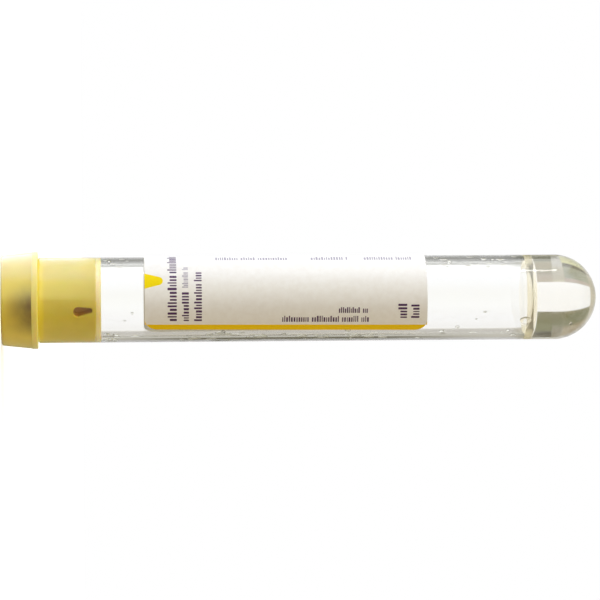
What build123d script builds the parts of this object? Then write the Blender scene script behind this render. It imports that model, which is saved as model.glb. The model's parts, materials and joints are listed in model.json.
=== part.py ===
from build123d import *

import os

# A stoppered blood collection tube, standing upside down on the flat top of its stopper,
# because on its side it would roll.
#
# The tube's axis is Z. The origin is at the middle of the stopper's top face, which is
# what it stands on, and the closed, domed end is at the top. Heights are measured from
# there. Angles are measured round Z from +X towards +Y, and the front is -Y, at -90
# degrees. All sizes are in millimetres.

# Glass tube
glass_length = 104.7
glass_diameter = 15.9
glass_wall = 1.0
dome_wall = 1.2

# Stopper head, from its flat top to the ring that sits on the rim of the glass
head_height = 6.8
head_top_diameter = 16.7
head_base_diameter = 17.9
head_top_round = 0.5
ring_diameter = 18.06
ring_width = 1.1

# Well in the flat top, where the needle goes in
well_diameter = 7.5
well_depth = 4.0
well_mouth_bevel = 0.3

# Plug inside the glass, with a tapered lead at its end and a cavity that thins the
# rubber for the needle
plug_length = 11.7
plug_clearance = 0.03
plug_lead_length = 0.9
plug_lead_depth = 0.4
cavity_diameter = 8.5
cavity_depth = 8.5
cavity_end_taper = 1.2
cavity_mouth_bevel = 0.5

# Pockets moulded into opposite sides of the plug: wide at the end nearer the head,
# narrow and a little to one side at the other
pocket_count = 2
pocket_length = 3.5
pocket_width = 1.8
pocket_tip_width = 0.9
pocket_tip_offset = 0.25
pocket_depth = 1.5
pocket_end_gap = 1.6
first_pocket_angle = -72.0

# Paper label, wrapped round the glass from its first edge, with a window left between
# its two long edges
label_start = 19.8
label_length = 52.5
label_thickness = 0.1
label_glue = 0.02
label_corner = 2.4
label_edge_angle = -43.9
label_wrap_angle = 284.0

# Additive solution in the domed end. Its surface is flat in the middle and climbs the
# glass all round. Its depth is from the inside of the domed end to where it meets the wall.
additive_depth = 12.5
additive_clearance = 0.02
meniscus_depth = 2.2
meniscus_flat_diameter = 7.6

# Radii that follow from those sizes
glass_radius = glass_diameter / 2
bore_radius = glass_radius - glass_wall
rim_radius = glass_wall / 2
head_top_radius = head_top_diameter / 2
head_base_radius = head_base_diameter / 2
ring_radius = ring_diameter / 2
well_radius = well_diameter / 2
plug_radius = bore_radius - plug_clearance
plug_end_radius = plug_radius - plug_lead_depth
cavity_radius = cavity_diameter / 2
cavity_end_radius = cavity_radius - cavity_end_taper
label_inner_radius = glass_radius + label_glue
label_outer_radius = label_inner_radius + label_thickness
additive_radius = bore_radius - additive_clearance
meniscus_flat_radius = meniscus_flat_diameter / 2

# Heights that follow from those sizes
ring_start = head_height - ring_width
mouth = head_height
plug_end = mouth + plug_length
plug_lead_start = plug_end - plug_lead_length
cavity_end = plug_end - cavity_depth
pocket_height = plug_end - pocket_end_gap - pocket_length / 2
tip = mouth + glass_length
dome_centre = tip - glass_radius
bore_end = tip - dome_wall
bore_dome_centre = bore_end - bore_radius
additive_edge = bore_end - additive_depth
additive_middle = additive_edge + meniscus_depth

# The label's second edge lies past the back, round the glass from the first
label_far_angle = label_edge_angle - label_wrap_angle


def outward_plane(distance, height, angle, along):
    """A plane facing straight out from the tube's axis, with local x along the tube."""
    outward = Vector(1, 0, 0).rotate(Axis.Z, angle)
    return Plane(origin=outward * distance + Vector(0, 0, height), x_dir=along, z_dir=outward)


# Glass tube: a straight wall with a domed end, and a rim rounded in the flame
with BuildPart() as glass_tube:
    with BuildSketch(Plane.XZ):
        with BuildLine():
            CenterArc((bore_radius + rim_radius, mouth + rim_radius), rim_radius, 180, 180)
            Line((glass_radius, mouth + rim_radius), (glass_radius, dome_centre))
            CenterArc((0, dome_centre), glass_radius, 0, 90)
            Line((0, tip), (0, bore_end))
            CenterArc((0, bore_dome_centre), bore_radius, 0, 90)
            Line((bore_radius, bore_dome_centre), (bore_radius, mouth + rim_radius))
        make_face()
    revolve(axis=Axis.Z)

# Stopper: one rubber moulding, with the well in its head, the cavity in its plug and
# the pockets in the plug's sides
with BuildPart() as stopper:
    with BuildSketch(Plane.XZ):
        with BuildLine():
            Polyline(
                (0, well_depth),
                (well_radius, well_depth),
                (well_radius, 0),
                (head_top_radius, 0),
                (head_base_radius, ring_start),
                (ring_radius, ring_start),
                (ring_radius, mouth),
                (plug_radius, mouth),
                (plug_radius, plug_lead_start),
                (plug_end_radius, plug_end),
                (cavity_radius, plug_end),
                (cavity_radius, cavity_end + cavity_end_taper),
                (cavity_end_radius, cavity_end),
                (0, cavity_end),
                close=True,
            )
        make_face()
    revolve(axis=Axis.Z)

    flat_top = stopper.faces().sort_by(Axis.Z)[0]
    fillet(flat_top.edges().sort_by(SortBy.RADIUS)[-1], radius=head_top_round)
    flat_top = stopper.faces().sort_by(Axis.Z)[0]
    chamfer(flat_top.edges().sort_by(SortBy.RADIUS)[0], length=well_mouth_bevel)
    plug_face = stopper.faces().sort_by(Axis.Z)[-1]
    chamfer(plug_face.edges().sort_by(SortBy.RADIUS)[0], length=cavity_mouth_bevel)

    pocket_angles = [first_pocket_angle + i * 360 / pocket_count for i in range(pocket_count)]
    pocket_planes = [
        outward_plane(plug_radius, pocket_height, angle, along=(0, 0, 1))
        for angle in pocket_angles
    ]
    pocket_wide_x = (pocket_width - pocket_length) / 2
    pocket_tip_x = (pocket_length - pocket_tip_width) / 2
    with BuildSketch(*pocket_planes):
        with Locations((pocket_wide_x, 0)):
            Circle(pocket_width / 2)
        with Locations((pocket_tip_x, pocket_tip_offset)):
            Circle(pocket_tip_width / 2)
        make_hull()
    extrude(amount=-pocket_depth, mode=Mode.SUBTRACT)

# Label: a strip bent round the glass. Each long edge has its corners cut round by an
# outline that is drawn flat on that edge and pushed out through the strip.
with BuildPart() as label:
    with BuildSketch(Plane.XY.offset(mouth + label_start)):
        with BuildLine():
            outer = CenterArc((0, 0), label_outer_radius, label_edge_angle, -label_wrap_angle)
            inner = CenterArc((0, 0), label_inner_radius, label_edge_angle, -label_wrap_angle)
            Line(outer @ 0, inner @ 0)
            Line(outer @ 1, inner @ 1)
        make_face()
    extrude(amount=label_length)

    label_middle = mouth + label_start + label_length / 2
    near_edge = outward_plane(0, label_middle, label_edge_angle, along=(0, 0, 1))
    far_edge = outward_plane(0, label_middle, label_far_angle, along=(0, 0, -1))
    with BuildSketch(near_edge, far_edge):
        Rectangle(label_length, label_corner, align=(Align.CENTER, Align.MIN))
        RectangleRounded(
            label_length,
            label_length,
            radius=label_corner,
            align=(Align.CENTER, Align.MIN),
            mode=Mode.SUBTRACT,
        )
    extrude(amount=glass_diameter, mode=Mode.SUBTRACT)

# Additive: the clear solution that fills the domed end, behind its hollowed surface
with BuildPart() as additive:
    with BuildSketch(Plane.XZ):
        with BuildLine():
            flat = Line((0, additive_middle), (meniscus_flat_radius, additive_middle))
            TangentArc(flat @ 1, (additive_radius, additive_edge), tangent=flat % 1)
            Line((additive_radius, additive_edge), (additive_radius, bore_dome_centre))
            CenterArc((0, bore_dome_centre), additive_radius, 0, 90)
            Line((0, bore_dome_centre + additive_radius), (0, additive_middle))
        make_face()
    revolve(axis=Axis.Z)

glass_tube.part.label = "glass_tube"
stopper.part.label = "stopper"
label.part.label = "label"
additive.part.label = "additive"

os.makedirs("parts", exist_ok=True)
export_step(glass_tube.part, "parts/glass_tube.step")
export_step(stopper.part, "parts/stopper.step")
export_step(label.part, "parts/label.step")
export_step(additive.part, "parts/additive.step")
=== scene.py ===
# %% [markdown]
# # A stoppered blood collection tube
#
# A glass tube with a domed end holds a little clear solution. A yellow rubber stopper
# closes it and a paper label is wrapped round it. The tube stands upside down, on the
# flat top of its stopper, so its axis is Z and its domed end is at the top.
#
# Every shape here is either a profile turned round Z or a sheet bent round Z, so each
# is a function of two parameters, worked out with numpy as whole arrays. The packed
# CAD model gives the places and main sizes.

# %% Load the frame
import json
import math

import bpy
import numpy as np
from mathutils import Matrix, Vector


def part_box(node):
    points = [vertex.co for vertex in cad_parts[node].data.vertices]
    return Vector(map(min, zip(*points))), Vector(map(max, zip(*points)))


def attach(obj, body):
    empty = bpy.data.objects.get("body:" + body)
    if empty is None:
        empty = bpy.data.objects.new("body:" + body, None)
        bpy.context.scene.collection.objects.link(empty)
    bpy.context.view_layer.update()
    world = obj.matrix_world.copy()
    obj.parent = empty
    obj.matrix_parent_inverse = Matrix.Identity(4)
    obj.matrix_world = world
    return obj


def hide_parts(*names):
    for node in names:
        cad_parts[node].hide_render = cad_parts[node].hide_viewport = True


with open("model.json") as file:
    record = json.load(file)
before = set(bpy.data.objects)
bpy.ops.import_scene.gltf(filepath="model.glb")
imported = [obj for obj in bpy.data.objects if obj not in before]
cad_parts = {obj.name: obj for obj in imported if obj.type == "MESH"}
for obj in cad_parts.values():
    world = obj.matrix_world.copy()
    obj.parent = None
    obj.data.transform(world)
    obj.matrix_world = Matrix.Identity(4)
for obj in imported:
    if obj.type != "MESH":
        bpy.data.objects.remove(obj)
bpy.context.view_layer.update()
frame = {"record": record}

# %% [markdown]
# ## Sizes
#
# The boxes of the CAD nodes and the radii of the mounts give the driving sizes. What
# they can't tell, such as the thickness of the glass, is written once here. All sizes
# are in metres, so a millimetre has a name.

# %% Driving sizes
MM = 0.001
mounts = {m["name"]: m for m in frame["record"]["mounts"]}


def mount_radius(name):
    """The radius of a round mount, in metres."""
    return mounts[name]["dims"]["r_mm"] * MM


glass_radius = mount_radius("rack_seat")
glass_wall = 1.0 * MM
dome_wall = 1.2 * MM
bore_radius = glass_radius - glass_wall
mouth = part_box("glass_tube")[0].z
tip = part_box("glass_tube")[1].z
dome_centre = tip - glass_radius
bore_dome_centre = tip - dome_wall - bore_radius
plug_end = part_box("stopper")[1].z
ring_radius = mount_radius("holder_guide")
ring_width = mounts["holder_guide"]["dims"]["length_mm"] * MM
ring_start = mouth - ring_width
well_radius = mount_radius("needle_well")
label_low, label_high = (corner.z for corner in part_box("label"))
label_radius = -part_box("label")[0].y
additive_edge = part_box("additive")[0].z

# Wetted and pressed surfaces reach this far into the glass, so that no film of air is
# left between them and it.
contact = 0.01 * MM
wet_radius = bore_radius + contact
print(f"glass {glass_radius / MM:.2f} mm in radius, from {mouth / MM:.1f} to {tip / MM:.1f} mm")

# %% [markdown]
# ## Shape helpers
#
# A turned piece, such as a lathe would make, is a profile of radius against height
# that is carried round the axis. Sharp corners look like paper models, so each corner
# is replaced by a short curve. Where a long straight wall meets a small curve, smooth
# shading would bend the wall's light, so two more rings hold the wall straight.


# %% Profiles
def parabola(start, corner, end, steps):
    """Points on the curve (1-t)^2 start + 2t(1-t) corner + t^2 end, for t from 0 to 1."""
    t = np.linspace(0, 1, steps)[:, None]
    return (1 - t) ** 2 * start + 2 * t * (1 - t) * corner + t**2 * end


def rounded(corners, steps=6):
    """Round a profile's corners.

    Each corner is (radius, height, cut). The curve leaves the side before the corner
    at the distance cut, and joins the side after it at the same distance. A cut of 0
    keeps the corner.
    """
    corners = np.array(corners, float)
    places, cuts = corners[:, :2], corners[:, 2]
    path = [places[:1]]
    for before, corner, after, cut in zip(places, places[1:], places[2:], cuts[1:]):
        start = corner + (before - corner) / np.linalg.norm(before - corner) * cut
        end = corner + (after - corner) / np.linalg.norm(after - corner) * cut
        path.append(parabola(start, corner, end, steps) if cut > 0 else corner[None])
    path.append(places[-1:])
    return np.concatenate(path)


def arc(centre_height, radius, start, end, steps, centre_radius=0.0):
    """Points on a circle: r = centre + R cos(a), z = centre + R sin(a), a in degrees."""
    angle = np.radians(np.linspace(start, end, steps))
    return np.stack(
        [centre_radius + radius * np.cos(angle), centre_height + radius * np.sin(angle)],
        axis=1,
    )


def held(path, hold=0.06 * MM):
    """Add a point near both ends of each long straight stretch of a profile."""
    step = np.diff(path, axis=0)
    length = np.linalg.norm(step, axis=1)
    out = [path[:1]]
    for start, along, distance in zip(path, step, length):
        if distance > 4 * hold:
            out.append(start + along / distance * np.array([[hold], [distance - hold]]))
        out.append((start + along)[None])
    path = np.concatenate(out)
    moved = np.linalg.norm(np.diff(path, axis=0), axis=1) > 1e-9
    return path[np.concatenate([[True], moved])]


def stretched(path, low, high, steps):
    """Add even rings to a profile's outer wall between two heights."""
    walls = np.where((path[:-1, 1] <= low) & (path[1:, 1] >= high))[0]
    wall = walls[np.argmax(path[walls, 0])]
    height = np.linspace(low, high, steps)
    radius = np.interp(height, path[wall : wall + 2, 1], path[wall : wall + 2, 0])
    return np.insert(path, [wall + 1], np.stack([radius, height], axis=1), axis=0)


# %% Turned surfaces
def round_z(radius, angle, height):
    """Places (r cos(a), r sin(a), z) round the axis, from arrays that fit each other."""
    radius, angle, height = np.broadcast_arrays(radius, angle, height)
    places = np.stack([radius * np.cos(angle), radius * np.sin(angle), height], axis=-1)
    return places.reshape(-1, 3)


def ring_points(path, around):
    """Points of a path that is turned round Z, a ring for each point of the path.

    Column j is at the angle of j turns divided by the number of columns.
    """
    return round_z(path[:, :1], np.arange(around) * 2 * np.pi / around, path[:, 1:])


def row_quads(index):
    """Quads between rows of point numbers, where each row closes on itself."""
    ahead = np.roll(index, -1, axis=1)
    return np.stack([index[:-1], ahead[:-1], ahead[1:], index[1:]], axis=-1).reshape(-1, 4)


def poled_faces(rings, columns):
    """Faces between rings of points, with a pole past the first ring and the last.

    Column j of ring i is point i * columns + j, and the two poles are the last points.
    """
    index = np.arange(rings * columns).reshape(rings, columns)
    first, last = index[0], index[-1]
    start = np.stack([np.roll(first, -1), first, np.full(columns, index.size)], axis=-1)
    end = np.stack([last, np.roll(last, -1), np.full(columns, index.size + 1)], axis=-1)
    return row_quads(index).tolist() + start.tolist() + end.tolist()


def turned(path, around):
    """Turn a profile round Z, from one point on the axis to another."""
    poles = np.array([[0, 0, path[0, 1]], [0, 0, path[-1, 1]]])
    points = np.concatenate([ring_points(path[1:-1], around), poles])
    return points, poled_faces(len(path) - 2, around)


def turned_ring(section, around):
    """Turn a closed section round Z, clear of the axis: its last ring joins its first."""
    index = np.arange(len(section) * around).reshape(len(section), around)
    faces = row_quads(np.append(index, index[:1], axis=0))
    return ring_points(section, around), faces.tolist()


# %% Pieces
columns_round = 256


def in_scene(name, data, place=None, axes=None):
    """Put a mesh, a camera or a lamp in the scene, with its own axes about a place."""
    thing = bpy.data.objects.new(name, data)
    bpy.context.scene.collection.objects.link(thing)
    if place is not None:
        turn = Matrix(axes).transposed().to_4x4()
        thing.matrix_world = Matrix.Translation(place) @ turn
    return thing


def enclosed(points, faces):
    """Six times the volume inside the faces, which is negative if they point inwards."""
    total = 0.0
    for size in (3, 4):
        same = np.array([f for f in faces if len(f) == size])
        for corner in range(1, size - 1) if len(same) else []:
            a, b, c = points[same[:, 0]], points[same[:, corner]], points[same[:, corner + 1]]
            total += np.einsum("ij,ij->i", a, np.cross(b, c)).sum()
    return total


def new_piece(name, points, faces, body, material, sharp=50.0):
    """Make one closed, smooth-shaded piece that rides on a CAD body."""
    if enclosed(points, faces) < 0:
        faces = [face[::-1] for face in faces]
    mesh = bpy.data.meshes.new(name)
    mesh.from_pydata(points.tolist(), [], faces)
    mesh.polygons.foreach_set("use_smooth", np.ones(len(mesh.polygons), bool))
    mesh.set_sharp_from_angle(angle=math.radians(sharp))
    mesh.materials.append(material)
    piece = in_scene(name, mesh)
    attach(piece, body)
    print(f"{name}: {len(points)} points, {len(faces)} faces")
    return piece


# %% [markdown]
# ## Materials
#
# Each finish is a small node tree. A helper adds nodes and links them, so that a
# material reads as a list of what feeds what.


# %% Material helpers
def new_material(name):
    """A material and its node tree, which is still empty."""
    material = bpy.data.materials.new(name)
    material.use_nodes = True
    material.node_tree.nodes.clear()
    return material, material.node_tree


def add(tree, kind, inputs=None, **settings):
    """Add a node, set its properties, and set or link its inputs by name or number."""
    node = tree.nodes.new(kind)
    for key, value in settings.items():
        setattr(node, key, value)
    for key, value in (inputs or {}).items():
        if isinstance(value, bpy.types.NodeSocket):
            tree.links.new(value, node.inputs[key])
        else:
            node.inputs[key].default_value = value
    return node


def math_node(tree, operation, *values):
    """The result of one sum, product or comparison."""
    inputs = dict(enumerate(values))
    return add(tree, "ShaderNodeMath", inputs, operation=operation).outputs[0]


def colour(red, green, blue):
    """A colour as it looks on a screen, from 0 to 255, as Blender's linear values."""
    screen = np.array([red, green, blue]) / 255
    linear = np.where(screen > 0.04045, ((screen + 0.055) / 1.055) ** 2.4, screen / 12.92)
    return (*linear.tolist(), 1.0)


def vector_math(tree, operation, *values):
    """The outputs of one sum or product of vectors, or of a vector's length."""
    inputs = dict(enumerate(values))
    return add(tree, "ShaderNodeVectorMath", inputs, operation=operation).outputs


def noise(tree, scale, detail, roughness=0.5):
    """A noise pattern in the piece's own space; scale is in cells per metre."""
    values = {
        "Vector": add(tree, "ShaderNodeTexCoord").outputs["Object"],
        "Scale": scale,
        "Detail": detail,
        "Roughness": roughness,
    }
    return add(tree, "ShaderNodeTexNoise", values).outputs["Fac"]


def blended(tree, factor, first, second):
    """A mix of two colours, from the first at factor 0 to the second at 1."""
    inputs = {0: factor, 6: first, 7: second}
    return add(tree, "ShaderNodeMix", inputs, data_type="RGBA").outputs[2]


def ramp(tree, value, low, high, to_low=0.0, to_high=1.0, kind="SMOOTHSTEP"):
    """Map a range of values to another, with a smooth start and end or in a LINEAR way."""
    inputs = {"Value": value, 1: low, 2: high, 3: to_low, 4: to_high}
    return add(tree, "ShaderNodeMapRange", inputs, interpolation_type=kind).outputs["Result"]


def finished(material, inputs, kind="ShaderNodeBsdfPrincipled"):
    """End a material in a last shader, which has these inputs."""
    tree = material.node_tree
    shader = add(tree, kind, inputs)
    add(tree, "ShaderNodeOutputMaterial", {"Surface": shader.outputs[0]})
    print(f"{material.name}: {len(tree.nodes)} nodes")
    return material


def node_of(material, kind):
    """The one node of a kind in a material."""
    return next(node for node in material.node_tree.nodes if node.type == kind)


# %% [markdown]
# ## Glass
#
# The tube is drawn from clear glass. It could be one shell with a thickness modifier,
# but its rim is rounded and its dome is thicker than its wall, so the inside and the
# outside are one profile: over the dome, down the outside, round the rim and up the
# bore. Clear glass needs both faces, because light bends at each of them.
#
# The finish is one smooth shader that bends light. Real caustics would light what is
# inside, but with much grain, so for shadows and for diffuse light the glass is simply
# open. Glass that is seen at a slant is seen through more of its wall, so it is made
# greyer there, which draws the thin dark lines along its edges.


# %% Clear glass finish
def clear_finish(name, tint, ior):
    """A see-through finish that bends light and lets lamps shine through it."""
    material, tree = new_material(name)
    values = {"Base Color": tint, "Roughness": 0.0, "IOR": ior, "Transmission Weight": 1.0}
    body = add(tree, "ShaderNodeBsdfPrincipled", values)
    open_to_light = add(tree, "ShaderNodeBsdfTransparent", {"Color": tint})
    path = add(tree, "ShaderNodeLightPath").outputs
    straight = math_node(tree, "MAXIMUM", path["Is Shadow Ray"], path["Is Diffuse Ray"])
    inputs = {0: straight, 1: body.outputs[0], 2: open_to_light.outputs[0]}
    return finished(material, inputs, "ShaderNodeMixShader")


glass_tint = (0.985, 0.99, 0.985, 1)
glass_edge_tint = (0.75, 0.755, 0.75, 1)
glass_finish = clear_finish("clear_glass", glass_tint, ior=1.5)
glass_tree = glass_finish.node_tree
facing = add(glass_tree, "ShaderNodeLayerWeight", {"Blend": 0.5}).outputs["Facing"]
slant = ramp(glass_tree, facing, 0.5, 0.85)
tint = blended(glass_tree, slant, glass_tint, glass_edge_tint)
glass_tree.links.new(tint, node_of(glass_finish, "BSDF_PRINCIPLED").inputs["Base Color"])

# %% The tube
rim_centre = bore_radius + glass_wall / 2
glass_path = np.concatenate(
    [
        arc(dome_centre, glass_radius, 90, 0, 72),
        arc(mouth + glass_wall / 2, glass_wall / 2, 0, -180, 25, rim_centre),
        arc(bore_dome_centre, bore_radius, 0, 90, 72),
    ]
)
glass_form = turned(held(glass_path), columns_round)
glass = new_piece("tube_glass", *glass_form, "tube", glass_finish)
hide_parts("glass_tube")

# %% [markdown]
# ## Stopper
#
# The stopper is one rubber moulding: a conical head, a ring where the mould's flash
# was trimmed off, and a plug in the glass. It is turned as a whole, with a well in the
# head for the needle and a cavity in the plug.

# %% Stopper sizes
well_depth = 4.0 * MM
head_top_radius = 8.35 * MM
head_base_radius = 8.95 * MM
plug_radius = wet_radius
plug_lead = plug_end - 0.9 * MM
plug_end_radius = bore_radius - 0.43 * MM
cavity_radius = 4.25 * MM
cavity_end = plug_end - 8.5 * MM
shade_patch_angle = math.radians(-78)
shade_patch_reach = math.cos(math.radians(40))
print(f"plug {(plug_end - mouth) / MM:.1f} mm long, {plug_radius / MM:.2f} mm in radius")

# %% [markdown]
# ## Rubber
#
# Rubber is a little cloudy: light goes in and comes out nearby, redder than it went in,
# which softens the shaded side. The subsurface part of the shader does that. The head
# and the ring have a soft gloss in the air, and the plug is pressed on the glass.
#
# The yellow isn't even. It is a deeper yellow on the plug just past the ring. The
# plug's tapered end is painted paler, as the light that falls on it, the pockets are
# painted brown, as the shade in them, and the head has a patch of painted shade on its
# side toward -Y, deepest against the ring. The ring is paler, partly from its cut surface
# and partly as painted sheen. A painted texture could hold all this, but it would have to
# be painted again after each change of size. Here each is a mix of two colours by the
# height, the angle or the radius of the place, so it follows the sizes.


# %% Rubber finish
def rubber_finish():
    """Yellow rubber: glossy on the moulded head, dull on the cut ring and paler, partly as
    painted sheen.
    """
    material, tree = new_material("yellow_rubber")
    place = add(tree, "ShaderNodeTexCoord").outputs["Object"]
    height = add(tree, "ShaderNodeSeparateXYZ", {0: place}).outputs["Z"]
    above = math_node(tree, "GREATER_THAN", height, ring_start - 0.02 * MM)
    below = math_node(tree, "LESS_THAN", height, mouth + 0.02 * MM)
    ring = math_node(tree, "MULTIPLY", above, below)
    in_glass = math_node(tree, "SUBTRACT", 1.0, below)
    cloud = ramp(tree, noise(tree, 260, 4), 0.35, 0.65)
    flat_place = vector_math(tree, "MULTIPLY", place, (1, 1, 0))[0]
    radius = vector_math(tree, "LENGTH", flat_place)["Value"]
    outward = vector_math(tree, "NORMALIZE", flat_place)[0]

    # Painted shade: a darker patch on the head's side toward -Y, deepest next to the ring
    shade_patch_way = (math.cos(shade_patch_angle), math.sin(shade_patch_angle), 0)
    nearness = vector_math(tree, "DOT_PRODUCT", outward, shade_patch_way)["Value"]
    nearness = ramp(tree, nearness, shade_patch_reach, 1.0, kind="LINEAR")
    nearness = math_node(tree, "POWER", nearness, 1.6)
    deepness = ramp(tree, height, 0.3 * MM, 5.2 * MM, kind="LINEAR")
    painted_shade = math_node(tree, "MULTIPLY", nearness, deepness)
    uneven = ramp(tree, noise(tree, 420, 3), 0.25, 0.6, 0.8, 1.0)
    painted_shade = math_node(tree, "MULTIPLY", painted_shade, uneven)
    head = blended(tree, cloud, colour(226, 206, 66), colour(231, 211, 76))
    head = blended(tree, painted_shade, head, colour(112, 84, 16))

    # The plug: deeper beside the ring, painted paler on its tapered end as light, painted brown
    # in its pockets as shade
    plug = blended(tree, cloud, colour(221, 203, 72), colour(226, 208, 82))
    beside_ring = ramp(tree, height, mouth + 0.7 * MM, mouth + 1.4 * MM, 1.0, 0.0)
    plug = blended(tree, beside_ring, plug, colour(232, 212, 48))
    # Painted light: the plug's tapered end is made paler for the light that falls on it
    painted_lit_lead = math_node(tree, "GREATER_THAN", height, plug_end - 0.85 * MM)
    plug = blended(tree, painted_lit_lead, plug, colour(236, 220, 150))
    # Painted shade: the floors of the pockets are coloured brown
    in_wall = math_node(tree, "GREATER_THAN", radius, cavity_radius + 0.5 * MM)
    below_lead = math_node(tree, "LESS_THAN", height, plug_end - 1.0 * MM)
    pocket_shade = ramp(tree, radius, plug_radius - 0.5 * MM, plug_radius - 0.1 * MM, 1.0, 0.0)
    pocket_shade = math_node(tree, "MULTIPLY", pocket_shade, math_node(tree, "MULTIPLY", in_wall, below_lead))
    plug = blended(tree, pocket_shade, plug, colour(186, 130, 2))

    moulded = blended(tree, in_glass, head, plug)
    # The ring is paler partly from its cut surface and partly as painted sheen
    trimmed_and_sheen = blended(tree, cloud, colour(230, 218, 108), colour(236, 225, 122))
    inputs = {"Strength": 0.25, "Distance": 0.02 * MM, "Height": noise(tree, 9000, 2)}
    bump = add(tree, "ShaderNodeBump", inputs)
    return finished(
        material,
        {
            "Base Color": blended(tree, ring, moulded, trimmed_and_sheen),
            "Roughness": ramp(tree, ring, 0, 1, 0.36, 0.5),
            "IOR": 1.52,
            "Coat Weight": below,
            "Coat Roughness": 0.32,
            "Coat IOR": 1.7,
            "Subsurface Weight": 1.0,
            "Subsurface Radius": (1.0, 0.7, 0.15),
            "Subsurface Scale": 0.7 * MM,
            "Normal": bump.outputs[0],
        },
    )


rubber = rubber_finish()

# %% The stopper's profile
stopper_path = rounded(
    [
        (0, well_depth, 0),
        (well_radius, well_depth, 0.35 * MM),
        (well_radius, 0, 0.3 * MM),
        (head_top_radius, 0, 0.5 * MM),
        (head_base_radius, ring_start, 0.03 * MM),
        (ring_radius, ring_start, 0.03 * MM),
        (ring_radius, mouth, 0.04 * MM),
        (plug_radius, mouth, 0.05 * MM),
        (plug_radius, plug_lead, 0.25 * MM),
        (plug_end_radius, plug_end, 0.15 * MM),
        (cavity_radius, plug_end, 0.4 * MM),
        (cavity_radius, cavity_end, 1.0 * MM),
        (0, cavity_end, 0),
    ]
)
print("stopper's profile:", len(stopper_path), "points")

# %% [markdown]
# ## Pockets
#
# Two small pockets are moulded in opposite sides of the plug, shaped like teardrops.
# They could be cut with a boolean, but that leaves long thin faces that shade badly.
# Here they are pressed into the turned surface: each of its points moves inwards by a
# depth that depends on its distance from the pocket's middle line.

# %% Pockets in the plug
pocket_angles = (-72.0, 108.0)
pocket_low, pocket_high = plug_end - 4.2 * MM, plug_end - 2.05 * MM
pocket_wide, pocket_narrow = 0.95 * MM, 0.5 * MM
pocket_lean = 0.25 * MM
pocket_depth = 1.5 * MM
pocket_edge = 0.22 * MM


def pressed(points):
    """Press the pockets into the plug's wall.

    A point's distance from a pocket's middle line is measured on the unrolled wall.
    The pocket tapers, so its half width runs from wide at the line's low end to narrow
    at its high end, and the line leans a little round the plug on the way. From the
    pocket's outline inwards the depth eases from none to all of it over the edge's width.
    """
    radius = np.hypot(points[:, 0], points[:, 1])
    angle = np.arctan2(points[:, 1], points[:, 0])
    on_wall = radius > cavity_radius + 1 * MM
    along = np.clip((points[:, 2] - pocket_low) / (pocket_high - pocket_low), 0, 1)
    half_width = pocket_wide + (pocket_narrow - pocket_wide) * along
    up = points[:, 2] - (pocket_low + along * (pocket_high - pocket_low))
    sink = np.zeros(len(points))
    for middle in np.radians(pocket_angles):
        turn = (angle - middle + np.pi) % (2 * np.pi) - np.pi
        inside = half_width - np.hypot(turn * plug_radius + along * pocket_lean, up)
        share = np.clip(inside / pocket_edge, 0, 1)
        sink += pocket_depth * share**2 * (3 - 2 * share)
    scale = 1 - np.where(on_wall & (points[:, 2] > mouth), sink, 0) / np.maximum(radius, 1e-6)
    return points * np.stack([scale, scale, np.ones_like(scale)], axis=1)


# %% The stopper
# The pockets need finer rings and columns than the rest
pocket_rings = 52
stopper_columns = 440
stopper_path = stretched(
    held(stopper_path), pocket_low - 1.2 * MM, pocket_high + 0.8 * MM, pocket_rings
)
stopper_points, stopper_faces = turned(stopper_path, stopper_columns)
stopper = new_piece(
    "rubber_stopper", pressed(stopper_points), stopper_faces, "stopper", rubber
)
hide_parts("stopper")

# %% [markdown]
# ## Label
#
# A paper label is glued round the tube and leaves a window of bare glass. On the roll
# it is a rectangle with round corners; on the tube it is that rectangle bent round Z.
# A row of the sheet runs round the tube at one height, and near the label's ends the
# rows get shorter by what a round corner takes away. Such a label is never put on
# quite straight, so each row is also turned a little, in even steps along the tube.
#
# A flat sheet could be bent by a modifier instead, but then its radius on the glass
# and its thickness would only be near the wanted ones.


# %% Sheets on the tube
# Angles are in degrees. The sheet and its print are each turned a little at their low
# end and their high end.
label_edge = -43.9
label_wrap = 284.0
label_corner = 2.4 * MM
print_edge = -45.9
degrees_per_metre = math.degrees(1 / label_radius)
sheet_askew = (-2.9, 1.8)
print_askew = (0.0, 3.5)


def corner_cut(distance, corner):
    """How far a round corner cuts in, at a distance from the sheet's end.

    The corner is a quarter circle, so the cut is corner - sqrt(corner^2 - left^2),
    where left is what remains of the corner at that distance.
    """
    left = np.clip(corner - distance, 0, corner)
    return corner - np.sqrt(corner**2 - left**2)


def sheet(heights, start, end, radii, columns):
    """A closed sheet bent round Z.

    Row i lies at height z_i between the angles start_i and end_i, in degrees. Its
    section is a closed loop: out along the outer radius and back along the inner one.
    The rows' loops are joined, and the first and last rows are closed.
    """
    share = np.concatenate([np.linspace(0, 1, columns), np.linspace(1, 0, columns)])
    radius = np.repeat(np.asarray(radii, float)[::-1], columns)
    angle = np.radians(start[:, None] + (end - start)[:, None] * share)
    index = np.arange(angle.size).reshape(angle.shape)
    k = np.arange(columns - 1)
    cap = np.stack([k, 2 * columns - 1 - k, 2 * columns - 2 - k, k + 1], axis=-1)
    faces = np.concatenate([row_quads(index), cap, index[-1, 0] + cap[:, ::-1]])
    return round_z(radius, angle, heights[:, None]), faces.tolist()


def joined(parts):
    """Put several (points, faces) pairs into one, with the faces' numbers moved along."""
    starts = np.cumsum([0] + [len(points) for points, _ in parts]).tolist()
    faces = [
        [start + number for number in face]
        for start, (_, part_faces) in zip(starts, parts)
        for face in part_faces
    ]
    return np.concatenate([points for points, _ in parts]), faces


def askew(heights, ends):
    """How far each row is turned, in degrees: evenly from one end's turn to the other's."""
    return np.interp(heights, (label_low, label_high), ends)


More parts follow.
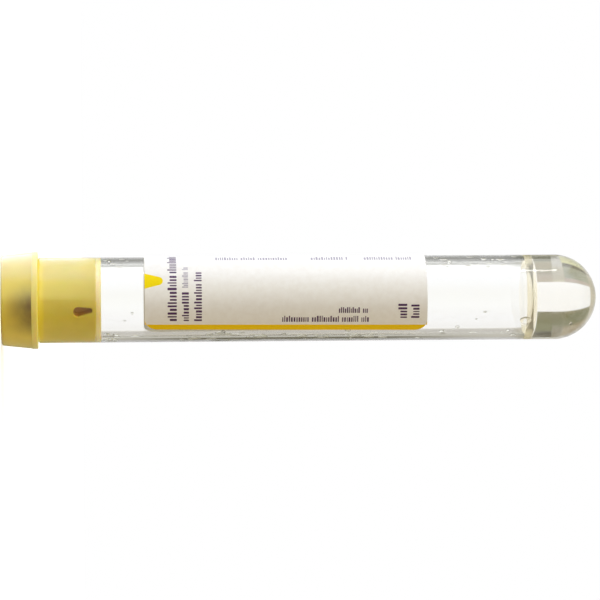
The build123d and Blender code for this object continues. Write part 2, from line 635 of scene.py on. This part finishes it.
def on_label(around, heights):
    """The angles of places in the print, from their distance round from its edge, in mm."""
    turned_by = np.asarray(around, float) * MM * degrees_per_metre
    return print_edge - turned_by + askew(heights, print_askew)


def ends_spaced(low, high, corner, steps):
    """Heights from low to high: close together in the round corners, apart between."""
    near = corner * (1 - np.cos(np.linspace(0, math.pi / 2, steps)))
    between = np.linspace(low + corner, high - corner, 4)[1:-1]
    return np.concatenate([low + near, between, high - near[::-1]])


print(f"label: {label_wrap / degrees_per_metre / MM:.1f} mm round the glass")


# %% Paper finish
def paper_finish():
    """White coated paper: faintly mottled, with a soft sheen and a fine tooth."""
    material, tree = new_material("label_paper")
    mottle = ramp(tree, noise(tree, 900, 5, 0.6), 0.3, 0.7)
    inputs = {"Strength": 0.12, "Distance": 0.02 * MM, "Height": noise(tree, 7000, 3)}
    tooth = add(tree, "ShaderNodeBump", inputs)
    return finished(
        material,
        {
            "Base Color": blended(tree, mottle, colour(243, 242, 240), colour(248, 248, 247)),
            "Roughness": ramp(tree, mottle, 0, 1, 0.42, 0.5),
            "IOR": 1.45,
            "Normal": tooth.outputs[0],
        },
    )


paper = paper_finish()

# %% The label
label_columns = 241
label_rows = ends_spaced(label_low, label_high, label_corner, 12)
end_distance = np.minimum(label_rows - label_low, label_high - label_rows)
cut = corner_cut(end_distance, label_corner) * degrees_per_metre
near_edge = label_edge + askew(label_rows, sheet_askew)
label = new_piece(
    "paper_label",
    *sheet(
        label_rows,
        near_edge - cut,
        near_edge - label_wrap + cut,
        (glass_radius - contact, label_radius),
        label_columns,
    ),
    "tube",
    paper,
    sharp=40,
)
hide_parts("label")

# %% [markdown]
# ## Print
#
# The label's print is a yellow stripe along its edge, a yellow pointer that shows which
# way to fill the tube, and short lines of dark print. The lines are plain bars that
# only stand for print, set in words of uneven length. The print drifts round the tube
# along its length, because it isn't quite square with the sheet.
#
# An image on the paper could show the marks, but it would blur when it is seen from
# near. Each mark is a sheet of ink instead, a hundredth of a millimetre thick.

# %% Ink finishes
ink_height = 0.012 * MM
ink_radii = (label_radius - 0.03 * MM, label_radius + ink_height)


def ink_finish(name, light, dark, gloss=0.4):
    """Printed ink, whose cover on the paper varies a little."""
    material, tree = new_material(name)
    cover = ramp(tree, noise(tree, 2600, 4, 0.6), 0.35, 0.7)
    return finished(
        material,
        {
            "Base Color": blended(tree, cover, light, dark),
            "Roughness": ramp(tree, cover, 0, 1, 0.45, 0.55),
            "Specular IOR Level": gloss,
        },
    )


yellow_ink = ink_finish("yellow_ink", colour(253, 230, 2), colour(250, 222, 1), 0.1)
# The stripe's ink is the pointer's yellow, painted deeper and more orange as the shade on the
# dim side of the tube where the stripe lies
shaded_yellow_ink = ink_finish("shaded_yellow_ink", colour(255, 217, 4), colour(252, 208, 2), 0.15)
plum_ink = ink_finish("plum_ink", colour(84, 52, 98), colour(70, 40, 84))
grey_ink = ink_finish("grey_ink", colour(176, 170, 186), colour(158, 150, 170))


# %% Ink marks
def ink_block(around, along, corner=0.1):
    """A bar of ink with round corners.

    It lies between two distances round the label from its edge, and two distances
    along it from its low end, all in mm.
    """
    rows = label_low + ends_spaced(along[0], along[1], corner, 4) * MM
    from_end = np.minimum(rows - label_low - along[0] * MM, along[1] * MM + label_low - rows)
    cut = corner_cut(from_end, corner * MM) * degrees_per_metre
    columns = 2 + int((around[1] - around[0]) / 0.5)
    start = on_label(around[0], rows) - cut
    end = on_label(around[1], rows) + cut
    return sheet(rows, start, end, ink_radii, columns)


def words(draw, start, end, size, height, space=0.6):
    """Uneven bars and gaps, from start to end: pairs of (low, high) with their heights.

    A bar is size wide, give or take a third, and two in three are shorter. After six
    to fourteen of them comes a wider gap.
    """
    bars = []
    place = start
    left = draw.integers(6, 15)
    while place + size < end:
        width = size * draw.uniform(0.65, 1.35)
        tall = height if draw.random() < 0.35 else 0.76 * height
        bars.append((place, min(place + width, end), tall))
        left -= 1
        place += width + (0.75 * size if left else space)
        left = left or draw.integers(6, 15)
    return bars


def print_line(draw, around, along, across, size):
    """A line of bars: across is "around" where it runs round the tube."""
    if across == "around":
        bars = words(draw, around[0], around[1], size, along[1] - along[0])
        return [ink_block((a, b), (along[1] - tall, along[1])) for a, b, tall in bars]
    bars = words(draw, along[0], along[1], size, around[1] - around[0])
    return [ink_block((around[0], around[0] + tall), (a, b), 0.05) for a, b, tall in bars]


bold_lines = [
    ((2.1, 17.5), (4.25, 5.95), "around", 0.36),
    ((2.1, 7.9), (6.9, 8.2), "around", 0.32),
    ((2.1, 12.1), (9.15, 10.6), "around", 0.32),
    ((2.8, 5.6), (47.05, 48.7), "around", 0.32),
    ((2.8, 5.6), (49.45, 51.0), "around", 0.32),
    ((1.95, 3.2), (25.5, 41.7), "along", 0.24),
    ((3.8, 4.9), (36.0, 41.7), "along", 0.2),
]
faint_lines = [
    ((8.5, 13.1), (6.95, 8.1), "around", 0.17),
    ((15.4, 16.8), (13.3, 26.8), "along", 0.26),
    ((15.4, 16.8), (31.1, 38.0), "along", 0.26),
    ((15.4, 16.8), (41.0, 50.2), "along", 0.26),
]
draw = np.random.default_rng(7)
for name, lines, ink in (
    ("dark_print", bold_lines, plum_ink),
    ("faint_print", faint_lines, grey_ink),
):
    marks = [bar for line in lines for bar in print_line(draw, *line)]
    new_piece(name, *joined(marks), "tube", ink)
    print("bars:", len(marks))

# %% Stripe and pointer
stripe_width = 1.3
stripe_end = on_label(stripe_width, label_rows)
stripe = sheet(label_rows, near_edge - cut, stripe_end, ink_radii, 9)

# The pointer is a wedge with a round tip: its half width falls evenly along it, less
# what the tip's round corner takes away. In mm.
pointer_middle = 9.83
pointer_length = 3.4
pointer_foot = 1.57
pointer_slope = 0.27
pointer_round = 0.62
pointer_along = pointer_length * np.sin(np.linspace(0, math.pi / 2, 24))
pointer_taper = pointer_foot - pointer_slope * pointer_along
pointer_tip = corner_cut(pointer_length - pointer_along, pointer_round)
pointer_half = np.maximum(pointer_taper - pointer_tip, 0.05)
pointer_rows = label_low + pointer_along * MM
pointer = sheet(
    pointer_rows,
    on_label(pointer_middle - pointer_half, pointer_rows),
    on_label(pointer_middle + pointer_half, pointer_rows),
    ink_radii,
    9,
)
new_piece("stripe_print", *stripe, "tube", shaded_yellow_ink)
new_piece("pointer_print", *pointer, "tube", yellow_ink)

# %% [markdown]
# ## Solution
#
# A little clear solution wets the glass in the domed end. Its free surface is concave,
# because water climbs up clean glass. It could end exactly where the glass begins, but
# then rays would meet two surfaces in one place, or a film of air. Instead it reaches a
# hair inside the glass: a ray meets the solution first and leaves the glass after, and
# the two bends add up to the one bend that glass makes against water.

# %% The solution
meniscus_depth = 2.2 * MM
meniscus_flat_radius = 3.8 * MM


def meniscus(steps=40):
    """The free surface: flat in the middle, then an arc down to where it meets the wall.

    The arc leaves the flat level and drops by depth over the width that is left, so
    its radius is (width^2 + depth^2) / (2 depth).
    """
    width = wet_radius - meniscus_flat_radius
    radius = (width**2 + meniscus_depth**2) / (2 * meniscus_depth)
    level = additive_edge + meniscus_depth
    slope = math.degrees(math.asin(width / radius))
    curl = arc(level - radius, radius, 90, 90 - slope, steps, meniscus_flat_radius)
    middle = np.linspace(0, meniscus_flat_radius, 5)[:-1]
    return np.concatenate([np.stack([middle, np.full(4, level)], axis=1), curl])


def with_painted_glow(material, below, gone, share):
    """Mix a pale scattering share into a clear finish, below a height and gone above.

    Where the surface climbs the glass it is bent so sharply that light is caught in
    the wedge of water, which then looks pale. This share paints that light on as a
    pale diffuse and translucent glow. The share is whole at the sides of the tube,
    two fifths of that in front, and none behind.
    """
    tree = material.node_tree
    output = node_of(material, "OUTPUT_MATERIAL")
    clear = output.inputs["Surface"].links[0].from_socket
    place = add(tree, "ShaderNodeTexCoord").outputs["Object"]
    parts = add(tree, "ShaderNodeSeparateXYZ", {0: place}).outputs
    pale = colour(246, 240, 214)
    back = add(tree, "ShaderNodeBsdfDiffuse", {"Color": pale})
    through = add(tree, "ShaderNodeBsdfTranslucent", {"Color": pale})
    glow = add(tree, "ShaderNodeMixShader", {0: 0.5, 1: back.outputs[0], 2: through.outputs[0]})
    cover = ramp(tree, parts["Z"], below, gone, share, 0.0)
    sides = ramp(tree, math_node(tree, "ABSOLUTE", parts["X"]), 4.5 * MM, 6.6 * MM)
    front = ramp(tree, parts["Y"], -5 * MM, -1 * MM, 0.4, 0.0)
    cover = math_node(tree, "MULTIPLY", cover, math_node(tree, "MAXIMUM", sides, front))
    mix = add(tree, "ShaderNodeMixShader", {0: cover, 1: clear, 2: glow.outputs[0]})
    tree.links.new(mix.outputs[0], output.inputs["Surface"])


def ball(centre, radius, steps=16):
    """A sphere about a point, as a turned half circle."""
    points, faces = turned(arc(0, radius, -90, 90, steps), 2 * steps)
    return points + np.array(centre), faces


solution_finish = clear_finish("clear_solution", (0.99, 0.976, 0.96, 1), ior=1.334)
# Painted glow where the solution's surface climbs the glass
with_painted_glow(solution_finish, additive_edge + 1.1 * MM, additive_edge + 1.9 * MM, 0.5)
solution_path = np.concatenate([meniscus(), arc(bore_dome_centre, wet_radius, 0, 90, 72)])
solution_points, solution_faces = turned(held(solution_path), columns_round)

# An air bubble is a hole in the solution, so its faces point the other way
solution_faces = [face[::-1] for face in solution_faces]
bubble = ball((4.6 * MM, -3.85 * MM, 106.0 * MM), 0.27 * MM)
solution_form = joined([(solution_points, solution_faces), bubble])
solution = new_piece("clear_solution", *solution_form, "tube", solution_finish)
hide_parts("additive")

# %% [markdown]
# ## Wet glass
#
# Some of the solution is left on the inside of the glass. It fills the narrow gap round
# the plug's tapered end, where it's held like water in a wick, and lies in drops and
# short runs on the wall. A drop is a low cap on the bore: its thickness falls from the
# middle to the edge as 1 - rho^2, where rho is the distance from the middle in units of
# the drop's own half width and half length. A bump in the glass's finish would be
# quicker, but it has no edge, and the light that a drop bends is what shows it. The
# draw that strews the drops is seeded, so they lie the same way each time.

# %% Water in the gap
# A thin ring: its free surface is a parabola from the glass to the plug's end
gap_rise = 0.06 * MM
gap_top = np.array([wet_radius, plug_end + gap_rise])
gap_bend = np.array([bore_radius - 0.08 * MM, plug_end - 0.02 * MM])
gap_inner = np.array([plug_end_radius - 0.03 * MM, plug_end - 0.05 * MM])
gap_surface = parabola(gap_top, gap_bend, gap_inner, 9)
gap_low = plug_lead - 0.05 * MM
gap_wall = np.array([[wet_radius, gap_low]])
gap_foot = np.array([[wet_radius - 0.04 * MM, gap_low]])
gap_section = np.concatenate([gap_wall, gap_surface, gap_foot])
gap_water = turned_ring(gap_section, columns_round)
wet_finish = clear_finish("water", (0.99, 0.99, 0.985, 1), ior=1.333)
print("section of the gap's water:", len(gap_section), "points")

# %% Drops
# Each ring of a drop is at a share rho of its half width and half length
free_rho = np.linspace(0, 1, 7)[1:]
back_rho = free_rho[:1:-1]
drop_rho = np.concatenate([free_rho, back_rho])[:, None]
drop_is_back = (np.arange(len(drop_rho)) >= len(free_rho))[:, None]
drop_turn = np.arange(20) * 2 * np.pi / 20


def water_drop(angle, height, half_width, half_length, thickness):
    """A drop on the bore: angle in degrees, the rest in mm.

    Its free side runs from the middle out to the edge. Its back is one flat cap that
    lies a hair inside the glass.
    """
    middle = math.radians(angle)
    top = bore_radius - thickness * MM
    sideways = half_width * drop_rho * np.cos(drop_turn) * MM
    along = half_length * drop_rho * np.sin(drop_turn) * MM
    free = bore_radius - thickness * MM * (1 - drop_rho**2)
    radius = np.where(drop_is_back, wet_radius, free)
    points = round_z(radius, middle + sideways / bore_radius, height * MM + along)
    poles = round_z([top, wet_radius], middle, height * MM)
    return np.concatenate([points, poles]), poled_faces(*sideways.shape)


def scattered(draw, count, angles, heights, size):
    """Drops strewn over a patch of the wall; some are drawn out, up to three times as long as
    wide.
    """
    drops = []
    for _ in range(count):
        width = size * draw.uniform(0.5, 1.2)
        length = width * draw.uniform(0.9, 3.2)
        place = draw.uniform(*angles), draw.uniform(*heights)
        drops.append(water_drop(*place, width, length, 0.6 * width))
    return drops


# The drops that can be told apart, then patches of small ones
placed = [
    (-70.0, 24.3, 0.2, 0.34, 0.1),
    (-58.0, 22.9, 0.16, 0.3, 0.08),
    (-68.2, 89.9, 0.16, 0.36, 0.16),
    (-56.6, 88.3, 0.14, 0.28, 0.1),
    (-42.0, 84.9, 0.34, 0.4, 0.22),
    (-37.0, 84.2, 0.22, 0.3, 0.14),
    (-34.0, 94.4, 0.4, 0.34, 0.2),
    (-30.0, 93.3, 0.26, 0.3, 0.14),
    (-33.0, 82.0, 0.36, 0.5, 0.18),
    (-54.0, 97.6, 0.72, 1.1, 0.32),
]
patches = [
    (16, (-36, 20), (19.2, 22.0), 0.34),
    (14, (155, 210), (19.2, 24.0), 0.3),
    (24, (-36, 25), (24.0, 97.0), 0.3),
    (20, (-37, 5), (34.0, 50.0), 0.42),
    (14, (-37, 5), (52.0, 73.0), 0.42),
    (26, (150, 208), (80.0, 97.0), 0.36),
]
drops = [water_drop(*drop) for drop in placed]
draw = np.random.default_rng(11)
for patch in patches:
    drops += scattered(draw, *patch)
print("drops:", len(drops))
wet = new_piece("wet_film", *joined([gap_water, *drops]), "tube", wet_finish)

# %% [markdown]
# ## Camera
#
# A tube on its side rolls away, so the model stands on its stopper. The camera is
# turned on its side instead, which makes the standing tube lie along the picture. It
# is 0.7 m away with a long lens, so both ends of the tube look nearly as wide.

# %% Camera
camera_distance = 700 * MM
camera_height = 18.4 * MM
camera_lean = math.radians(0.42)
camera_data = bpy.data.cameras.new("camera")
camera_data.sensor_width = 36
camera_data.lens = 224.4
eye = Vector((0, -camera_distance, camera_height))
aim = Vector((0.26 * MM, 0, 55.8 * MM))

# The picture's right is along the tube, and its top is the tube's side, but for a lean
ahead_way = (aim - eye).normalized()
along_tube = (Vector((0, 0, 1)) - ahead_way * ahead_way.z).normalized()
sideways = (-ahead_way).cross(along_tube)
right = along_tube * math.cos(camera_lean) - sideways * math.sin(camera_lean)
up = along_tube * math.sin(camera_lean) + sideways * math.cos(camera_lean)
bpy.context.scene.camera = in_scene("camera", camera_data, eye, (right, up, -ahead_way))
bpy.context.scene.view_settings.view_transform = "Standard"
print(f"camera {camera_distance / MM:.0f} mm away, with a lens of {camera_data.lens} mm")

# %% [markdown]
# ## World
#
# Clear glass has no colour of its own. Its shape shows in what stands behind and beside
# it, bent by its walls, so a photographer puts it before white paper and holds dark
# cards at its sides. The world does the same: a soft light, which is strongest on the
# side that is at the top of the picture, with cards held up in it. A picture of a
# studio could do this too, but a card is one line and can be moved by a degree.
#
# The solution makes a strong lens of the domed end, and the hollow tube doesn't, so
# some cards are only for the one or the other. Light that has crossed more than four
# surfaces has been through the solution or a drop. Rubber and glass also need
# different light, so the last cards are only for what is mirrored in gloss. Angles to
# the side are from straight behind the tube, and angles up are from the horizon.

# %% World
world = bpy.data.worlds.new("studio")
bpy.context.scene.world = world
world.use_nodes = True
sky = world.node_tree
sky.nodes.clear()
direction = add(sky, "ShaderNodeTexCoord").outputs["Generated"]
parts = add(sky, "ShaderNodeSeparateXYZ", {0: direction}).outputs
azimuth = math_node(sky, "ARCTAN2", parts["X"], parts["Y"])
elevation = math_node(sky, "ARCSINE", parts["Z"])

# The soft light: level goes from 0 at +X, the dim and warm side, to 1 at -X
level = math_node(sky, "MULTIPLY_ADD", parts["X"], -0.5, 0.5)
red = math_node(sky, "MULTIPLY_ADD", level, 1.7, 0.34)
green = math_node(sky, "MULTIPLY_ADD", level, 2.05, 0.08)
blue = math_node(sky, "MULTIPLY", math_node(sky, "POWER", level, 1.5), 2.5)
soft_light = add(sky, "ShaderNodeCombineColor", {0: red, 1: green, 2: blue}).outputs[0]

# %% Kinds of light
path = add(sky, "ShaderNodeLightPath").outputs
bent = path["Is Transmission Ray"]
not_bent = math_node(sky, "SUBTRACT", 1.0, bent)
direct = math_node(sky, "LESS_THAN", path["Glossy Depth"], 0.5)
filled = math_node(sky, "GREATER_THAN", path["Transmission Depth"], 4.5)
hollow = math_node(sky, "SUBTRACT", 1.0, filled)
mirrored = math_node(sky, "MULTIPLY", path["Is Glossy Ray"], not_bent)
seen_through = math_node(sky, "MULTIPLY", bent, direct)
thin_glass = math_node(sky, "MULTIPLY", hollow, seen_through)


# %% Cards
def between(angle, low, high, soft):
    """1 where an angle lies between two limits, easing to 0 past them, in degrees."""
    low, high, soft = (math.radians(limit) for limit in (low, high, soft))
    rises = ramp(sky, angle, low - soft, low + soft)
    falls = ramp(sky, angle, high - soft, high + soft, 1.0, 0.0)
    return math_node(sky, "MULTIPLY", rises, falls)


def card(under, side, across, rise, light, soft=(1.2, 0.4), only=None):
    """Hold up a card that replaces the light behind it.

    side is -1 for the side of -X and 1 for the side of +X. across is the card's span
    away from the middle of the background, and rise its span above the horizon, both
    with soft edges. A card can be for only one kind of light.
    """
    away = math_node(sky, "MULTIPLY", azimuth, float(side)) if side else azimuth
    wide = between(away, *across, soft[0])
    high = between(elevation, *rise, soft[1])
    cover = math_node(sky, "MULTIPLY", wide, high)
    cover = math_node(sky, "MULTIPLY", cover, only) if only else cover
    return blended(sky, cover, under, (*light, 1))


def held_up(under, cards):
    """Hold up several cards, each in front of the ones before it."""
    for one in cards:
        under = card(under, *one)
    print("cards:", len(cards))
    return under


def on_both_sides(under, cards):
    """Hold up the same cards on one side of the tube and then on the other."""
    for side in (-1, 1):
        under = held_up(under, [(side, *one) for one in cards])
    return under


any_rise = (-95, 95)

# %% Cards beside the background
# Far out they are bright, because they light the rubber and the paper. Next to the
# background they are grey, and give the glass its edges.
low_glass = (-0.8, 1.0)
high_glass = (4.8, 6.45)
below_liquid = (-0.8, 6.45)
beside = [
    (-1, (40, 100), any_rise, (1.95, 1.95, 1.95), (20, 1)),
    (1, (40, 100), any_rise, (1.1, 1.05, 0.9), (20, 1)),
    (-1, (9.9, 52), any_rise, (0.56, 0.57, 0.54), (5, 1)),
    (1, (9.9, 52), any_rise, (0.56, 0.55, 0.5), (5, 1)),
    (-1, (9.9, 24), any_rise, (0.32, 0.325, 0.245), (4, 1)),
    (-1, (9.9, 52), low_glass, (0.36, 0.36, 0.34), (4, 0.4), hollow),
    (-1, (9.9, 52), high_glass, (0.36, 0.36, 0.34), (4, 0.3), hollow),
    (1, (9.9, 24), any_rise, (0.49, 0.456, 0.342), (4, 1), filled),
    (1, (9.9, 24), any_rise, (0.5, 0.48, 0.46), (4, 1), hollow),
    (-1, (9.9, 52), below_liquid, (0.24, 0.22, 0.16), (4, 0.4), filled),
    (-1, (9.9, 24), below_liquid, (0.17, 0.175, 0.09), (4, 0.4), filled),
    (1, (23, 38), (0.7, 5.1), (0.05, 0.05, 0.03), (2, 1.1), hollow),
]
environment = held_up(soft_light, beside)

# %% Cards for the solution
# First what shows in its straight part, then what shows in the dome
in_liquid = (6.45, 9)
in_dome = (-60, -0.8)
for_solution = [
    (-1, (9.9, 52), in_liquid, (0.02, 0.02, 0.01)),
    (-1, (9.9, 31), in_liquid, (0.165, 0.17, 0.075), (4, 0.2)),
    (-1, (9.9, 15), in_liquid, (0.19, 0.195, 0.11), (3, 0.2)),
    (1, (9.9, 52), in_liquid, (0.24, 0.24, 0.17), (4, 0.2)),
    (1, (9.9, 32), in_liquid, (0.35, 0.31, 0.2), (3, 0.2)),
    (1, (9.9, 16), in_liquid, (0.46, 0.4, 0.3), (1.2, 0.2)),
    (1, (9.9, 70), in_dome, (0.7, 0.69, 0.38), (4, 0.4)),
    (1, (9.9, 31), in_dome, (0.1, 0.09, 0.05), (1.5, 0.4)),
    (1, (9.9, 25), in_dome, (0.34, 0.35, 0.26), (1.6, 0.4)),
    (1, (9.9, 13), in_dome, (0.5, 0.42, 0.36), (0.8, 0.4)),
    (-1, (9.9, 60), in_dome, (0.36, 0.3, 0.2), (4, 0.4)),
    (-1, (9.9, 25), in_dome, (0.15, 0.155, 0.07), (4, 0.4)),
]
environment = held_up(environment, for_solution)

# %% Cards round the sides
# From the side, the solution and the thin glass show white between greys
round_filled = [
    ((56, 150), any_rise, (0.8, 0.79, 0.72), (10, 1), filled),
    ((70, 92), any_rise, (1, 1, 1), (8, 1), filled),
    ((98, 125), any_rise, (0.42, 0.41, 0.36), (8, 1), filled),
]
round_thin = [
    ((56, 130), any_rise, (0.55, 0.55, 0.5), (6, 1), thin_glass),
    ((74, 106), any_rise, (1, 1, 1), (3, 1), thin_glass),
]
environment = on_both_sides(environment, round_filled)
environment = on_both_sides(environment, round_thin)

# %% White background
# Straight behind it is white, over a darker foot and under a white ceiling
background_cards = [
    (0, (-9.9, 9.9), any_rise, (1, 1, 1), (0.6, 1)),
    (-1, (8, 13.3), below_liquid, (1, 1, 1), (0.6, 0.4), hollow),
    (1, (6, 10.5), below_liquid, (0.88, 0.87, 0.87), (2, 0.4), hollow),
    (0, (-60, 60), (-100, -28.5), (0.51, 0.46, 0.35), (4, 1.5)),
    (0, (-60, 60), (9.5, 100), (1.0, 1.0, 0.97), (10, 1)),
    (0, (-100, 100), (32, 100), (1.0, 0.95, 0.78), (10, 3)),
]
environment = held_up(environment, background_cards)

# %% Cards for gloss
# Gloss mirrors a dark room in front and bright cards beside the tube. Seen through the
# glass from behind, the front is white.
front_cards = [
    ((150, 200), any_rise, (0.3, 0.27, 0.2), (45, 3), mirrored),
    ((120, 190), any_rise, (1, 1, 1), (10, 3), seen_through),
]
environment = on_both_sides(environment, front_cards)
below_horizon = (-90, -0.15)
gloss_cards = [
    (1, (40, 125), any_rise, (0.6, 0.5, 0.3), (10, 3), mirrored),
    (-1, (22, 176), below_horizon, (2.7, 2.7, 1.4), (14, 0.3), mirrored),
    (-1, (22, 122), below_horizon, (2.3, 2.6, 3.2), (12, 0.3), mirrored),
]
environment = held_up(environment, gloss_cards)

# %% World output
# The camera itself sees plain white
seen = blended(sky, path["Is Camera Ray"], environment, (1, 1, 1, 1))
background = add(sky, "ShaderNodeBackground", {"Color": seen, "Strength": 1.0})
add(sky, "ShaderNodeOutputWorld", {"Surface": background.outputs[0]})
print("world:", len(sky.nodes), "nodes")

# %% [markdown]
# ## Lamp
#
# One narrow lamp stands beside the tube and draws a thin bright line along it, in the
# gloss of the glass. Its power is its radiance times its area times pi. A bright card
# in the world would do it too, but a lamp is sampled better when it is this narrow.
# Neither the camera nor the light that goes through the glass sees it.

# %% Lamp
lamp_distance = 150 * MM
lamp_height = 73 * MM
lamp_angle = math.radians(75)
lamp_radiance = 10.0
lamp_data = bpy.data.lights.new("line_lamp", "AREA")
lamp_data.shape = "RECTANGLE"
lamp_data.size = 13.6 * MM
lamp_data.size_y = 96 * MM
lamp_data.energy = lamp_radiance * math.pi * lamp_data.size * lamp_data.size_y
upward = Vector((0, 0, 1))
lamp_facing = Vector((math.sin(lamp_angle), math.cos(lamp_angle), 0))
lamp_place = lamp_height * upward - lamp_distance * lamp_facing
lamp_axes = (upward.cross(-lamp_facing), upward, -lamp_facing)
lamp = in_scene("line_lamp", lamp_data, lamp_place, lamp_axes)
lamp.visible_camera = False
lamp.visible_transmission = False
print(f"lamp: {lamp_data.energy:.3f} W")

# %% [markdown]
# ## Floor
#
# The floor is a plain white sheet, and the tube's shadow falls on it. A white floor
# would also throw much light back up the tube, and wash out the shaded side of the
# rubber, so to that light it is a dim, warm grey near the tube. A little light of its
# own makes it as white as the background. It isn't seen through the glass or in gloss,
# because the background is.

# %% Floor
floor_half = 3.0
floor_mesh = bpy.data.meshes.new("floor")
floor_corners = floor_half * np.array([[-1, -1, 0], [1, -1, 0], [1, 1, 0], [-1, 1, 0]])
floor_mesh.from_pydata(floor_corners.tolist(), [], [[0, 1, 2, 3]])
floor = in_scene("floor", floor_mesh)
floor.visible_transmission = False
floor.visible_glossy = False


# %% Floor finish
def floor_finish():
    """White where it is seen, and a dim, warm grey near the tube to other light."""
    material, tree = new_material("white_floor")
    path = add(tree, "ShaderNodeLightPath").outputs
    shown = math_node(tree, "MAXIMUM", path["Is Camera Ray"], path["Is Transmission Ray"])
    place = add(tree, "ShaderNodeTexCoord").outputs["Object"]
    distance = vector_math(tree, "LENGTH", place)["Value"]
    near = ramp(tree, distance, 14 * MM, 26 * MM, 1.0, 0.0)
    dark = blended(tree, near, (0.12, 0.11, 0.1, 1), (0.45, 0.4, 0.33, 1))
    inputs = {"Color": blended(tree, shown, dark, (0.8, 0.8, 0.8, 1))}
    diffuse = add(tree, "ShaderNodeBsdfDiffuse", inputs)
    depth = add(tree, "ShaderNodeSeparateXYZ", {0: place}).outputs["Y"]
    inputs = {0: shown, 2: ramp(tree, depth, 0.0, 30 * MM, 0.0, 0.8), 3: 0.35}
    glow = add(tree, "ShaderNodeMix", inputs, data_type="FLOAT").outputs[0]
    light = add(tree, "ShaderNodeEmission", {"Strength": glow})
    inputs = {0: diffuse.outputs[0], 1: light.outputs[0]}
    return finished(material, inputs, "ShaderNodeAddShader")


floor_mesh.materials.append(floor_finish())
